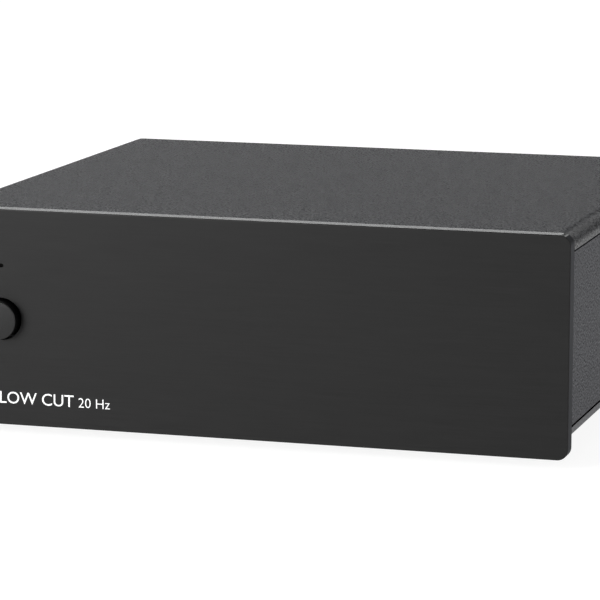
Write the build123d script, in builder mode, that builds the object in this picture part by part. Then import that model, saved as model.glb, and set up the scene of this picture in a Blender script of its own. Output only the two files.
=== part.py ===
from build123d import *
import math
import os

# Desktop phono preamp in a half-width metal casing.
#
# Frame: X to the right seen from the front, Y to the back, Z up. The origin is on the surface
# the feet stand on, midway between the sides and midway between the button's face and the mouths
# of the phono sockets. All sizes are millimetres.

os.makedirs("parts", exist_ok=True)

# ---- Driving dimensions -------------------------------------------------------------------

# Front plate
plate_width = 103.0
plate_height = 34.7
plate_thickness = 2.6
plate_corner = 1.7
plate_edge_break = 0.15
foot_drop = 1.6  # the plate's lower edge above the surface

# Casing
body_depth = 91.6  # front face of the plate to the back edge of the cover
bottom_rise = 3.6  # underside of the casing above the plate's lower edge
bottom_sheet = 1.25
cover_sheet = 1.2
cover_bend = 2.4  # outer radius of the rolled edge
cover_edge = 2.6  # height of the rolled edge, from the cover's top
wall_thickness = 3.0
shadow_gap = 0.25  # groove that shows above and below each side wall
panel_sheet = 1.5
rear_recess = 0.5  # rear panel inside the casing's back edge
sheet_break = 0.12

# Fits
seat_gap = 0.1  # between sheets that slide together
thread_gap = 0.05  # radial, between a screw and its tapped hole
hole_gap = 0.15  # radial, in a clearance hole
turned_gap = 0.03  # radial, between turned pieces pressed together
running_gap = 0.08  # radial, round a sliding plunger

# Screws, all of one size
screw_radius = 1.2
head_radius = 2.25
head_height = 1.5
socket_width = 1.5
socket_depth = 0.8
port_radius = 2.4  # screw port in the side wall's profile
port_inset = 2.9  # port's axis from the wall's inner face
port_mouth = 0.8
port_grip = 7.0  # screw length in a port
plate_grip = 1.9  # screw length in the front plate
plate_screw_x = 24.0

# Pillars between the bottom plate and the cover
pillar_width = 5.0
pillar_inset = 12.0  # from the casing's side
front_pillar_depth = 32.0  # behind the plate's front face
rear_pillar_inset = 25.0  # from the casing's back edge
pillar_grip = 6.0

# Feet
foot_radius = 5.5
foot_bevel = 0.6
foot_side_inset = 12.5
front_foot_depth = 14.0  # behind the plate's front face
rear_foot_inset = 11.0  # from the casing's back edge

# Push button and its switch
button_inset = 10.8  # from the plate's left edge
button_radius = 3.1
button_proud = 1.9
button_travel = 1.5
button_rim = 0.3
button_hole_gap = 0.4
button_flange_step = 0.8
button_flange = 0.8
button_boss_radius = 2.1
button_boss = 3.0
plunger_radius = 1.2
plunger_seat = 2.6  # plunger inside the button
plunger_collar = 0.7
plunger_reach = 6.0  # plunger inside the switch
spring_length = 3.2
spring_wire = 0.36
spring_turns = 3
spring_gap = 0.2
switch_width = 7.7
switch_length = 12.0
switch_above_axis = 3.85
switch_round = 0.4

# Light window, light pipe and light-emitting diode
window_width = 0.85
window_height = 0.6
window_rise = 8.58  # above the button's axis
window_recess = 0.3
window_gap = 0.05
pipe_depth = 2.4
pipe_height = 2.0
pipe_leg_width = 2.0
pipe_leg_offset = 7.4  # leg to the right of the window
diode_length = 3.0
diode_width = 1.6
diode_base = 0.6
diode_lens_radius = 0.7
diode_lens_height = 0.7

# Circuit board
board_thickness = 1.6
board_gap = 0.4
nut_above_board = 0.15
groove_depth = 1.2
groove_lip = 0.9
pillar_hole_gap = 0.5

# Slide switch banks
bank_x = 18.0
bank_depth = 45.0  # behind the plate's front face
bank_ways = 8
bank_pitch = 2.54
bank_end = 0.99  # beyond the outer ways' pitch
bank_width = 9.7
bank_height = 5.45
bank_recess = 0.8  # inside the bottom plate's underside
bank_window_gap = 0.5
lever_width = 1.0
lever_length = 1.4
lever_proud = 0.35
lever_travel = 1.9
lever_gap = 0.05
lever_foot_width = 1.7
lever_foot_length = 1.8
lever_foot_height = 1.0
slot_depth = 0.8

# Phono sockets
input_pair_inset = 20.5  # from the casing's right side
output_pair_step = 23.0  # from the power jack
pair_pitch = 14.0
socket_reach = 9.2  # beyond the rear panel
socket_barrel_radius = 4.15
socket_inner_radius = 3.45
socket_shank_radius = 3.9
socket_shank = 9.0
socket_flange_radius = 5.5
socket_flange = 1.4
socket_lead_in = 0.4
insulator_recess = 0.8
contact_bore_radius = 1.6
contact_wall = 0.35
contact_recess = 1.4
contact_cap = 0.6
tail_reach = 2.0
tail_width = 1.0
tail_thickness = 0.4
socket_nut_width = 11.0
socket_nut_height = 2.0

# Ground post
post_radius = 1.95
post_head_radius = 3.2
post_head = 1.2
post_tip = 0.8
post_lead_in = 0.4
washer_radius = 4.4
washer_thickness = 0.8
nut_radius = 4.6
nut_length = 4.2
nut_shoulder_radius = 3.7
nut_shoulder = 0.9
nut_grooves = 30
nut_groove_width = 0.45  # of the square cutter, which stands on its corner
thread_pitch = 0.7
nut_turns = 4  # that the nut can be opened on the post

# Power jack
jack_inset = 14.0  # from the casing's left side
jack_width = 9.0
jack_length = 13.5
jack_nose_radius = 4.5
jack_nose = 0.8  # beyond the rear panel
jack_mouth_radius = 3.1
jack_depth = 9.0
jack_pin_radius = 1.05
jack_pin_recess = 0.6
jack_pin_round = 0.4

# Components on the board
electrolytic_radius = 3.15
electrolytic_height = 11.0
electrolytic_spacing = (10.0, 9.0)
electrolytic_inset = 26.5  # middle of the group from the casing's back edge
film_length = 7.2
film_width = 4.5
film_height = 8.5
film_spacing = (10.0, 7.0)
film_side_inset = 29.0  # middle of the group from the casing's right side
film_inset = 25.5
chip_length = 9.8
chip_width = 6.4
chip_height = 3.4
chip_row_spacing = 24.0
chip_depth = 32.0  # middle of the group behind the plate's front face

# ---- Places worked out from them ----------------------------------------------------------

half_width = plate_width / 2
hexagon_reach = 1 / math.cos(math.pi / 6)  # corner radius of a hexagon over its half width

overall_depth = button_proud + body_depth - rear_recess + socket_reach
front_y = button_proud - overall_depth / 2
plate_back_y = front_y + plate_thickness
sub_back_y = plate_back_y + panel_sheet
body_back_y = front_y + body_depth
rear_face_y = body_back_y - rear_recess
rear_inside_y = rear_face_y - panel_sheet

plate_mid_z = foot_drop + plate_height / 2
top_z = foot_drop + plate_height
cover_under_z = top_z - cover_sheet
cover_edge_z = top_z - cover_edge
casing_bottom_z = foot_drop + bottom_rise
bottom_top_z = casing_bottom_z + bottom_sheet

wall_inside_x = half_width - wall_thickness
tongue_x = half_width - cover_sheet - seat_gap
skin_low_z = bottom_top_z + shadow_gap
skin_high_z = cover_edge_z - shadow_gap
port_x = wall_inside_x - port_inset
port_low_z = bottom_top_z + port_radius + seat_gap
port_high_z = cover_under_z - port_radius - seat_gap
thread_hole_radius = screw_radius + thread_gap
screw_hole_radius = screw_radius + hole_gap

panel_width = 2 * (wall_inside_x - seat_gap)
panel_height = cover_under_z - bottom_top_z - seat_gap
panel_mid_z = bottom_top_z + panel_height / 2

bank_face_z = casing_bottom_z + bank_recess
board_bottom_z = bank_face_z + bank_height
board_top_z = board_bottom_z + board_thickness
axis_z = board_top_z + nut_above_board + socket_nut_width / 2
board_front_y = sub_back_y + board_gap
board_back_y = rear_inside_y - board_gap

socket_shank_hole = socket_shank_radius + seat_gap
insulator_radius = socket_inner_radius - turned_gap
contact_radius = contact_bore_radius + contact_wall
socket_mouth_y = rear_face_y + socket_reach
socket_end_y = rear_face_y - socket_shank
contact_mouth_y = socket_mouth_y - contact_recess

jack_x = -half_width + jack_inset
input_pair_x = half_width - input_pair_inset
output_pair_x = jack_x + output_pair_step
socket_xs = {
    "input_left": input_pair_x + pair_pitch / 2,
    "input_right": input_pair_x - pair_pitch / 2,
    "output_left": output_pair_x + pair_pitch / 2,
    "output_right": output_pair_x - pair_pitch / 2,
}
ground_x = (socket_xs["input_right"] + socket_xs["output_left"]) / 2

button_x = -half_width + button_inset
window_z = axis_z + window_rise
diode_top_z = board_top_z + diode_base + diode_lens_height
leg_x = button_x + pipe_leg_offset
leg_y = board_front_y + diode_width / 2 + seat_gap

button_hole_radius = button_radius + button_hole_gap
flange_back_y = sub_back_y + button_flange
boss_back_y = flange_back_y + button_boss
collar_back_y = boss_back_y + plunger_collar
switch_front_y = collar_back_y + spring_length
plunger_front_y = boss_back_y - plunger_seat
plunger_back_y = switch_front_y + plunger_reach

pillar_places = [
    (side * (half_width - pillar_inset), y)
    for side in (-1, 1)
    for y in (front_y + front_pillar_depth, body_back_y - rear_pillar_inset)
]
foot_x = half_width - foot_side_inset
front_foot_y = front_y + front_foot_depth
rear_foot_y = body_back_y - rear_foot_inset
foot_places = {
    "front_left_foot": (-foot_x, front_foot_y),
    "front_right_foot": (foot_x, front_foot_y),
    "rear_left_foot": (-foot_x, rear_foot_y),
    "rear_right_foot": (foot_x, rear_foot_y),
}
port_places = [(side * port_x, z) for side in (-1, 1) for z in (port_low_z, port_high_z)]
plate_screw_places = [(side * plate_screw_x, axis_z) for side in (-1, 1)]
bank_places = {"left": -bank_x, "right": bank_x}
bank_mid_y = front_y + bank_depth


def across(y):
    """Upright plane across the casing at depth y: local X to the right, local Y up, facing front."""
    return Plane.XZ.offset(-y)


def turning_plane(x):
    """Level plane through the axis of a turned piece at x: local X is radius, local Y is depth."""
    return Plane(origin=(x, 0, axis_z))


def turning_axis(x):
    """Axis of a turned piece at x, which runs from front to back."""
    return Axis((x, 0, axis_z), (0, 1, 0))


# ---- Front plate --------------------------------------------------------------------------
# Thick plate with rounded corners. Its back has pockets for the screw heads of the sub panel
# and blind tapped holes for the screws that hold the plate from inside.

with BuildPart() as front_plate:
    with BuildSketch(across(front_y)):
        with Locations((0, plate_mid_z)):
            RectangleRounded(plate_width, plate_height, plate_corner)
    extrude(amount=-plate_thickness)
    chamfer(front_plate.faces().sort_by(Axis.Y)[0].edges(), plate_edge_break)
    with BuildSketch(across(front_y)):
        with Locations((button_x, axis_z)):
            Circle(button_hole_radius)
        with Locations((button_x, window_z)):
            SlotOverall(window_width, window_height)
    extrude(amount=-plate_thickness, mode=Mode.SUBTRACT)
    with BuildSketch(across(plate_back_y)):
        with Locations(*port_places):
            Circle(head_radius + hole_gap)
    extrude(amount=head_height + seat_gap, mode=Mode.SUBTRACT)
    with BuildSketch(across(plate_back_y)):
        with Locations(*plate_screw_places):
            Circle(thread_hole_radius)
    extrude(amount=plate_grip, mode=Mode.SUBTRACT)

front_plate.part.label = "front_plate"
export_step(front_plate.part, "parts/front_plate.step")

# ---- Sub front panel ----------------------------------------------------------------------
# Sheet screwed to the ports of both side walls. The front plate is drawn against it.

with BuildPart() as sub_front_panel:
    with BuildSketch(across(plate_back_y)):
        with Locations((0, panel_mid_z)):
            Rectangle(panel_width, panel_height)
        with Locations((button_x, axis_z)):
            Circle(button_hole_radius, mode=Mode.SUBTRACT)
        with Locations((button_x, window_z)):
            SlotOverall(
                window_width + 2 * hole_gap, window_height + 2 * hole_gap, mode=Mode.SUBTRACT
            )
        with Locations(*port_places, *plate_screw_places):
            Circle(screw_hole_radius, mode=Mode.SUBTRACT)
    extrude(amount=-panel_sheet)

sub_front_panel.part.label = "sub_front_panel"
export_step(sub_front_panel.part, "parts/sub_front_panel.step")

# ---- Top cover ----------------------------------------------------------------------------
# Sheet with both long edges rolled down.


def shouldered_outline(width, top, radius):
    """Section standing on the cover's lower edge, its two upper corners rounded."""
    with BuildSketch() as outline:
        with Locations((0, cover_edge_z)):
            Rectangle(width, top - cover_edge_z, align=(Align.CENTER, Align.MIN))
        fillet(outline.vertices().group_by(Axis.Y)[-1], radius)
    return outline.sketch


cover_outside = shouldered_outline(plate_width, top_z, cover_bend)
cover_inside = shouldered_outline(
    plate_width - 2 * cover_sheet, cover_under_z, cover_bend - cover_sheet
)

with BuildPart() as top_cover:
    with BuildSketch(across(plate_back_y)):
        add(cover_outside)
        add(cover_inside, mode=Mode.SUBTRACT)
    extrude(amount=-(body_back_y - plate_back_y))

top_cover.part.label = "top_cover"
export_step(top_cover.part, "parts/top_cover.step")

# ---- Side walls ---------------------------------------------------------------------------
# Aluminium profile: an outer skin between the two shadow grooves, a tongue that closes both
# grooves from inside and reaches from the bottom plate to the cover, two open screw ports, and
# a groove for the board's edge. Ports and groove are milled back at both ends for the panels.

with BuildPart() as right_side_wall:
    with BuildSketch(across(plate_back_y)):
        with Locations((half_width, skin_low_z)):
            Rectangle(wall_thickness, skin_high_z - skin_low_z, align=(Align.MAX, Align.MIN))
    extrude(amount=-(body_back_y - plate_back_y))
    with BuildSketch(across(plate_back_y)) as tongue:
        with Locations((wall_inside_x, bottom_top_z)):
            Rectangle(
                tongue_x - wall_inside_x,
                cover_under_z - bottom_top_z,
                align=(Align.MIN, Align.MIN),
            )
        fillet(tongue.vertices().group_by(Axis.Y)[-1].sort_by(Axis.X)[-1], cover_bend - cover_sheet)
    extrude(amount=-(body_back_y - plate_back_y))
    with BuildSketch(across(sub_back_y)):
        with Locations((port_x, port_low_z), (port_x, port_high_z)):
            Circle(port_radius)
            Rectangle(wall_inside_x - port_x, port_radius, align=(Align.MIN, Align.CENTER))
        with Locations((wall_inside_x, board_bottom_z)):
            Rectangle(groove_depth, groove_lip, align=(Align.MAX, Align.MAX))
        with Locations((wall_inside_x, board_top_z + seat_gap)):
            Rectangle(groove_depth, groove_lip, align=(Align.MAX, Align.MIN))
    extrude(amount=-(rear_inside_y - sub_back_y))
    with BuildSketch(across(sub_back_y)):
        with Locations((port_x, port_low_z), (port_x, port_high_z)):
            Circle(thread_hole_radius)
            Rectangle(2 * port_radius, port_mouth, align=(Align.MAX, Align.CENTER))
    extrude(amount=-(rear_inside_y - sub_back_y), mode=Mode.SUBTRACT)

right_side_wall.part.label = "right_side_wall"
export_step(right_side_wall.part, "parts/right_side_wall.step")

with BuildPart() as left_side_wall:
    mirror(right_side_wall.part, about=Plane.YZ)

left_side_wall.part.label = "left_side_wall"
export_step(left_side_wall.part, "parts/left_side_wall.step")

# ---- Bottom plate -------------------------------------------------------------------------
# Flat sheet whose edges show as a thin lip under the side walls. Two windows give access to
# the slide switch banks.

bank_length = (bank_ways - 1) * bank_pitch + 2 * bank_end + bank_pitch
bank_window = (bank_length + 2 * bank_window_gap, bank_width + 2 * bank_window_gap)

with BuildPart() as bottom_plate:
    with BuildSketch(Plane.XY.offset(casing_bottom_z)):
        with Locations((0, plate_back_y)):
            Rectangle(plate_width, body_back_y - plate_back_y, align=(Align.CENTER, Align.MIN))
    extrude(amount=bottom_sheet)
    chamfer(bottom_plate.edges().filter_by(Axis.Y), sheet_break)
    with BuildSketch(Plane.XY.offset(casing_bottom_z)):
        with Locations(*[(x, bank_mid_y) for x in bank_places.values()]):
            Rectangle(*bank_window)
        with Locations(*pillar_places):
            Circle(screw_hole_radius)
    extrude(amount=bottom_sheet, mode=Mode.SUBTRACT)

bottom_plate.part.label = "bottom_plate"
export_step(bottom_plate.part, "parts/bottom_plate.step")

# ---- Rear panel ---------------------------------------------------------------------------

with BuildPart() as rear_panel:
    with BuildSketch(across(rear_inside_y)):
        with Locations((0, panel_mid_z)):
            Rectangle(panel_width, panel_height)
        with Locations(*[(x, axis_z) for x in socket_xs.values()]):
            Circle(socket_shank_hole, mode=Mode.SUBTRACT)
        with Locations((ground_x, axis_z)):
            Circle(post_radius + thread_gap, mode=Mode.SUBTRACT)
        with Locations((jack_x, axis_z)):
            Circle(jack_nose_radius + seat_gap, mode=Mode.SUBTRACT)
        with Locations(*port_places):
            Circle(screw_hole_radius, mode=Mode.SUBTRACT)
    extrude(amount=-panel_sheet)

rear_panel.part.label = "rear_panel"
export_step(rear_panel.part, "parts/rear_panel.step")

# ---- Pillars ------------------------------------------------------------------------------
# Hexagonal pillars pressed into the cover's underside. Screws from below clamp the casing.

with BuildPart() as cover_pillars:
    with BuildSketch(Plane.XY.offset(bottom_top_z)):
        with Locations(*pillar_places):
            RegularPolygon(pillar_width / 2, side_count=6, major_radius=False)
    extrude(amount=cover_under_z - bottom_top_z)
    with BuildSketch(Plane.XY.offset(bottom_top_z)):
        with Locations(*pillar_places):
            Circle(thread_hole_radius)
    extrude(amount=pillar_grip, mode=Mode.SUBTRACT)

cover_pillars.part.label = "cover_pillars"
export_step(cover_pillars.part, "parts/cover_pillars.step")

# ---- Screws -------------------------------------------------------------------------------
# Cylinder head screws with a hexagon socket. Seat plane at the origin, head up, shank down.


def socket_screw(length):
    """One screw with a shank of this length."""
    with BuildPart() as screw:
        with BuildSketch(Plane.XY):
            Circle(head_radius)
        extrude(amount=head_height)
        with BuildSketch(Plane.XY):
            Circle(screw_radius)
        extrude(amount=-length)
        with BuildSketch(Plane.XY.offset(head_height)):
            RegularPolygon(socket_width / 2, side_count=6, major_radius=False)
        extrude(amount=-socket_depth, mode=Mode.SUBTRACT)
    return screw.part


front_seats = [Plane(origin=(x, plate_back_y, z), z_dir=(0, -1, 0)) for x, z in port_places]
plate_seats = [Plane(origin=(x, sub_back_y, z), z_dir=(0, 1, 0)) for x, z in plate_screw_places]
rear_seats = [Plane(origin=(x, rear_face_y, z), z_dir=(0, 1, 0)) for x, z in port_places]
bottom_seats = [Plane(origin=(x, y, casing_bottom_z), z_dir=(0, 0, -1)) for x, y in pillar_places]

screw_groups = {
    "front_screws": (panel_sheet + port_grip, front_seats),
    "plate_screws": (panel_sheet + plate_grip - seat_gap, plate_seats),
    "rear_screws": (panel_sheet + port_grip, rear_seats),
    "bottom_screws": (bottom_sheet + pillar_grip - seat_gap, bottom_seats),
}

for group_name, (screw_length, seats) in screw_groups.items():
    screw = socket_screw(screw_length)
    with BuildPart() as screw_group:
        with Locations(*seats):
            add(screw)
    screw_group.part.label = group_name
    export_step(screw_group.part, f"parts/{group_name}.step")

# ---- Feet ---------------------------------------------------------------------------------
# Rubber feet with a bevelled tread, bonded to the underside of the bottom plate.

with BuildPart() as foot_form:
    with BuildSketch(Plane.XY):
        Circle(foot_radius)
    extrude(amount=casing_bottom_z)
    chamfer(foot_form.edges().group_by(Axis.Z)[0], foot_bevel)

for foot_name, foot_place in foot_places.items():
    with BuildPart() as foot:
        with Locations(foot_place):
            add(foot_form.part)
    foot.part.label = foot_name
    export_step(foot.part, f"parts/{foot_name}.step")

# ---- Push button --------------------------------------------------------------------------
# Turned cap with a fine bright rim. Its flange rests against the sub panel from behind, and its
# boss takes the switch's plunger.

with BuildPart() as filter_button:
    with BuildSketch(turning_plane(button_x)):
        with BuildLine():
            Polyline(
                (0, front_y - button_proud),
                (button_radius - button_rim, front_y - button_proud),
                (button_radius, front_y - button_proud + button_rim),
                (button_radius, sub_back_y),
                (button_hole_radius + button_flange_step, sub_back_y),
                (button_hole_radius + button_flange_step, flange_back_y),
                (button_boss_radius, flange_back_y),
                (button_boss_radius, boss_back_y),
                (plunger_radius + turned_gap, boss_back_y),
                (plunger_radius + turned_gap, plunger_front_y),
                (0, plunger_front_y),
                close=True,
            )
        make_face()
    revolve(axis=turning_axis(button_x))

filter_button.part.label = "filter_button"
export_step(filter_button.part, "parts/filter_button.step")

# ---- Push switch --------------------------------------------------------------------------
# The plunger slides in the switch's bore. Its collar meets the button's boss and seats the
# return spring, whose other end stands on the switch's face.

with BuildPart() as switch_plunger:
    with BuildSketch(turning_plane(button_x)):
        with BuildLine():
            Polyline(
                (0, plunger_front_y),
                (plunger_radius, plunger_front_y),
                (plunger_radius, boss_back_y),
                (button_boss_radius, boss_back_y),
                (button_boss_radius, collar_back_y),
                (plunger_radius, collar_back_y),
                (plunger_radius, plunger_back_y),
                (0, plunger_back_y),
                close=True,
            )
        make_face()
    revolve(axis=turning_axis(button_x))

switch_plunger.part.label = "switch_plunger"
export_step(switch_plunger.part, "parts/switch_plunger.step")

with BuildPart() as switch_body:
    with BuildSketch(across(switch_front_y)) as switch_section:
        with Locations((button_x, board_top_z)):
            Rectangle(
                switch_width,
                axis_z + switch_above_axis - board_top_z,
                align=(Align.CENTER, Align.MIN),
            )
        fillet(switch_section.vertices().group_by(Axis.Y)[-1], switch_round)
    extrude(amount=-switch_length)
    with BuildSketch(across(switch_front_y)):
        with Locations((button_x, axis_z)):
            Circle(plunger_radius + running_gap)
    extrude(amount=-(plunger_reach + button_travel + board_gap), mode=Mode.SUBTRACT)

switch_body.part.label = "switch_body"
export_step(switch_body.part, "parts/switch_body.step")

spring_radius = plunger_radius + spring_gap + spring_wire / 2
spring_rise = spring_length - spring_wire
spring_start = (button_x, collar_back_y + spring_wire / 2, axis_z)

with BuildPart() as switch_spring:
    with BuildLine() as spring_path:
        Helix(
            pitch=spring_rise / spring_turns,
            height=spring_rise,
            radius=spring_radius,
            center=spring_start,
            direction=(0, 1, 0),
        )
    with BuildSketch(Plane(origin=spring_path.line @ 0, z_dir=spring_path.line % 0)):
        Rectangle(spring_wire, spring_wire)
    sweep(path=spring_path.line, is_frenet=True)

switch_spring.part.label = "switch_spring"
export_step(switch_spring.part, "parts/switch_spring.step")

# ---- Light pipe and diode -----------------------------------------------------------------
# Clear moulding: a blade in the plate's window, a bar behind the sub panel, and a leg that
# stands on the diode. The corner above the leg is cut at 45 degrees to turn the light.

with BuildPart() as light_pipe:
    with BuildSketch(across(front_y + window_recess)):
        with Locations((button_x, window_z)):
            SlotOverall(window_width - 2 * window_gap, window_height - 2 * window_gap)
    extrude(amount=-(sub_back_y - front_y - window_recess))
    with BuildSketch(across(sub_back_y)):
        with BuildLine():
            Polyline(
                (button_x - window_width / 2, window_z - pipe_height / 2),
                (leg_x - pipe_leg_width / 2, window_z - pipe_height / 2),
                (leg_x - pipe_leg_width / 2, diode_top_z),
                (leg_x + pipe_leg_width / 2, diode_top_z),
                (leg_x + pipe_leg_width / 2, window_z - pipe_height / 2),
                (leg_x - pipe_leg_width / 2, window_z + pipe_height / 2),
                (button_x - window_width / 2, window_z + pipe_height / 2),
                close=True,
            )
        make_face()
    extrude(amount=-pipe_depth)

light_pipe.part.label = "light_pipe"
export_step(light_pipe.part, "parts/light_pipe.step")

with BuildPart() as status_diode:
    with BuildSketch(Plane.XY.offset(board_top_z)):
        with Locations((leg_x, leg_y)):
            Rectangle(diode_length, diode_width)
    extrude(amount=diode_base)
    with BuildSketch(Plane.XY.offset(board_top_z + diode_base)):
        with Locations((leg_x, leg_y)):
            Circle(diode_lens_radius)
    extrude(amount=diode_lens_height)

status_diode.part.label = "status_diode"
export_step(status_diode.part, "parts/status_diode.step")

# ---- Circuit board and its components -----------------------------------------------------

with BuildPart() as circuit_board:
    with BuildSketch(Plane.XY.offset(board_bottom_z)):
        with Locations((0, board_front_y)):
            Rectangle(panel_width, board_back_y - board_front_y, align=(Align.CENTER, Align.MIN))
        with Locations(*pillar_places):
            Circle(pillar_width / 2 * hexagon_reach + pillar_hole_gap, mode=Mode.SUBTRACT)
    extrude(amount=board_thickness)

circuit_board.part.label = "circuit_board"
export_step(circuit_board.part, "parts/circuit_board.step")

with BuildPart() as electrolytic_capacitors:
    with BuildSketch(Plane.XY.offset(board_top_z)):
        with Locations((0, body_back_y - electrolytic_inset)):
            with GridLocations(*electrolytic_spacing, 2, 2):
                Circle(electrolytic_radius)
    extrude(amount=electrolytic_height)

electrolytic_capacitors.part.label = "electrolytic_capacitors"
export_step(electrolytic_capacitors.part, "parts/electrolytic_capacitors.step")

with BuildPart() as film_capacitors:
    with BuildSketch(Plane.XY.offset(board_top_z)):
        with Locations((half_width - film_side_inset, body_back_y - film_inset)):
            with GridLocations(*film_spacing, 2, 2):
                Rectangle(film_length, film_width)
    extrude(amount=film_height)

film_capacitors.part.label = "film_capacitors"
export_step(film_capacitors.part, "parts/film_capacitors.step")

with BuildPart() as amplifier_chips:
    with BuildSketch(Plane.XY.offset(board_top_z)):
        with Locations((0, front_y + chip_depth)):
            with GridLocations(2 * bank_x, chip_row_spacing, 2, 2):
                Rectangle(chip_length, chip_width)
    extrude(amount=chip_height)

amplifier_chips.part.label = "amplifier_chips"
export_step(amplifier_chips.part, "parts/amplifier_chips.step")

# ---- Slide switch banks -------------------------------------------------------------------
# Each bank hangs under the board with its face in a window of the bottom plate. A lever is a
# T in section: its foot runs in an undercut, so it can slide but not drop out.

slot_length = lever_length + lever_travel + 2 * lever_gap
undercut_length = lever_foot_length + lever_travel + 2 * lever_gap
way_offsets = [(way - (bank_ways - 1) / 2) * bank_pitch for way in range(bank_ways)]
lever_rest_y = bank_mid_y - lever_travel / 2

for side, side_x in bank_places.items():
    slots = [(side_x + offset, bank_mid_y) for offset in way_offsets]
    with BuildPart() as bank:
        with BuildSketch(Plane.XY.offset(bank_face_z)):
            with Locations((side_x, bank_mid_y)):
                Rectangle(bank_length, bank_width)
        extrude(amount=bank_height)
        with BuildSketch(Plane.XY.offset(bank_face_z)):
            with Locations(*slots):
                Rectangle(lever_width + 2 * lever_gap, slot_length)
        extrude(amount=slot_depth, mode=Mode.SUBTRACT)
        with BuildSketch(Plane.XY.offset(bank_face_z + slot_depth)):
            with Locations(*slots):
                Rectangle(lever_foot_width + 2 * lever_gap, undercut_length)
        extrude(amount=lever_foot_height + 2 * lever_gap, mode=Mode.SUBTRACT)
    bank.part.label = f"{side}_switch_bank"
    export_step(bank.part, f"parts/{side}_switch_bank.step")

    for way, offset in enumerate(way_offsets, start=1):
        with BuildPart() as lever:
            with BuildSketch(Plane.XY.offset(bank_face_z - lever_proud)):
                with Locations((side_x + offset, lever_rest_y)):
                    Rectangle(lever_width, lever_length)
            extrude(amount=lever_proud + slot_depth + lever_gap)
            with BuildSketch(Plane.XY.offset(bank_face_z + slot_depth + lever_gap)):
                with Locations((side_x + offset, lever_rest_y)):
                    Rectangle(lever_foot_width, lever_foot_length)
            extrude(amount=lever_foot_height)
        lever.part.label = f"{side}_lever_{way}"
        export_step(lever.part, f"parts/{side}_lever_{way}.step")

# ---- Phono sockets ------------------------------------------------------------------------
# Turned shell with a flange outside the panel and a threaded shank held by a nut inside. An
# insulator fills the shell and carries the centre contact, whose tail stands on the board.

tail_back_y = socket_end_y - contact_cap
tail_front_y = tail_back_y - tail_reach

with BuildPart() as shell_form:
    with BuildSketch(turning_plane(0)):
        with BuildLine():
            Polyline(
                (socket_inner_radius, socket_end_y),
                (socket_shank_radius, socket_end_y),
                (socket_shank_radius, rear_face_y),
                (socket_flange_radius, rear_face_y),
                (socket_flange_radius, rear_face_y + socket_flange),
                (socket_barrel_radius, rear_face_y + socket_flange),
                (socket_barrel_radius, socket_mouth_y - socket_lead_in),
                (socket_barrel_radius - socket_lead_in, socket_mouth_y),
                (socket_inner_radius, socket_mouth_y),
                close=True,
            )
        make_face()
    revolve(axis=turning_axis(0))

with BuildPart() as insulator_form:
    with BuildSketch(across(socket_end_y)):
        with Locations((0, axis_z)):
            Circle(insulator_radius)
            Circle(contact_radius + turned_gap, mode=Mode.SUBTRACT)
    extrude(amount=-(socket_mouth_y - insulator_recess - socket_end_y))

with BuildPart() as contact_form:
    with BuildSketch(turning_plane(0)):
        with BuildLine():
            Polyline(
                (0, tail_back_y),
                (contact_radius, tail_back_y),
                (contact_radius, contact_mouth_y),
                (contact_bore_radius, contact_mouth_y),
                (contact_bore_radius, socket_end_y),
                (0, socket_end_y),
                close=True,
            )
        make_face()
    revolve(axis=turning_axis(0))
    with BuildSketch(Plane.YZ.offset(-tail_width / 2)):
        with BuildLine():
            Polyline(
                (tail_back_y, axis_z + tail_thickness / 2),
                (tail_front_y, axis_z + tail_thickness / 2),
                (tail_front_y, board_top_z),
                (tail_front_y + tail_thickness, board_top_z),
                (tail_front_y + tail_thickness, axis_z - tail_thickness / 2),
                (tail_back_y, axis_z - tail_thickness / 2),
                close=True,
            )
        make_face()
    extrude(amount=tail_width)

for socket_name, socket_x in socket_xs.items():
    with BuildPart() as shell:
        with Locations((socket_x, 0, 0)):
            add(shell_form.part)
    shell.part.label = f"{socket_name}_shell"
    export_step(shell.part, f"parts/{socket_name}_shell.step")

    with BuildPart() as insulator:
        with Locations((socket_x, 0, 0)):
            add(insulator_form.part)
    insulator.part.label = f"{socket_name}_insulator"
    export_step(insulator.part, f"parts/{socket_name}_insulator.step")

with BuildPart() as socket_contacts:
    with Locations(*[(x, 0, 0) for x in socket_xs.values()]):
        add(contact_form.part)

socket_contacts.part.label = "socket_contacts"
export_step(socket_contacts.part, "parts/socket_contacts.step")

with BuildPart() as socket_nuts:
    with BuildSketch(across(rear_inside_y)):
        with Locations(*[(x, axis_z) for x in socket_xs.values()]):
            RegularPolygon(socket_nut_width / 2, side_count=6, major_radius=False)
            Circle(socket_shank_radius + thread_gap, mode=Mode.SUBTRACT)
    extrude(amount=socket_nut_height)

socket_nuts.part.label = "socket_nuts"
export_step(socket_nuts.part, "parts/socket_nuts.step")

# ---- Ground post --------------------------------------------------------------------------
# Headed stud pressed in from inside, with a washer and a knurled thumb nut outside.

washer_back_y = rear_face_y + washer_thickness
nut_back_y = washer_back_y + nut_length
nut_travel = thread_pitch * nut_turns
post_end_y = nut_back_y + nut_travel + post_tip
post_bore_radius = post_radius + running_gap

with BuildPart() as ground_post:
    with BuildSketch(turning_plane(ground_x)):
        with BuildLine():
            Polyline(
                (0, rear_inside_y - post_head),
                (post_head_radius, rear_inside_y - post_head),
                (post_head_radius, rear_inside_y),
                (post_radius, rear_inside_y),
                (post_radius, post_end_y - post_lead_in),
                (post_radius - post_lead_in, post_end_y),
                (0, post_end_y),
                close=True,
            )
        make_face()
    revolve(axis=turning_axis(ground_x))

ground_post.part.label = "ground_post"
export_step(ground_post.part, "parts/ground_post.step")

with BuildPart() as ground_washer:
    with BuildSketch(turning_plane(ground_x)):
        with BuildLine():
            Polyline(
                (post_bore_radius, rear_face_y),
                (washer_radius, rear_face_y),
                (washer_radius, washer_back_y),
                (post_bore_radius, washer_back_y),
                close=True,
            )
        make_face()
    revolve(axis=turning_axis(ground_x))

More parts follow.
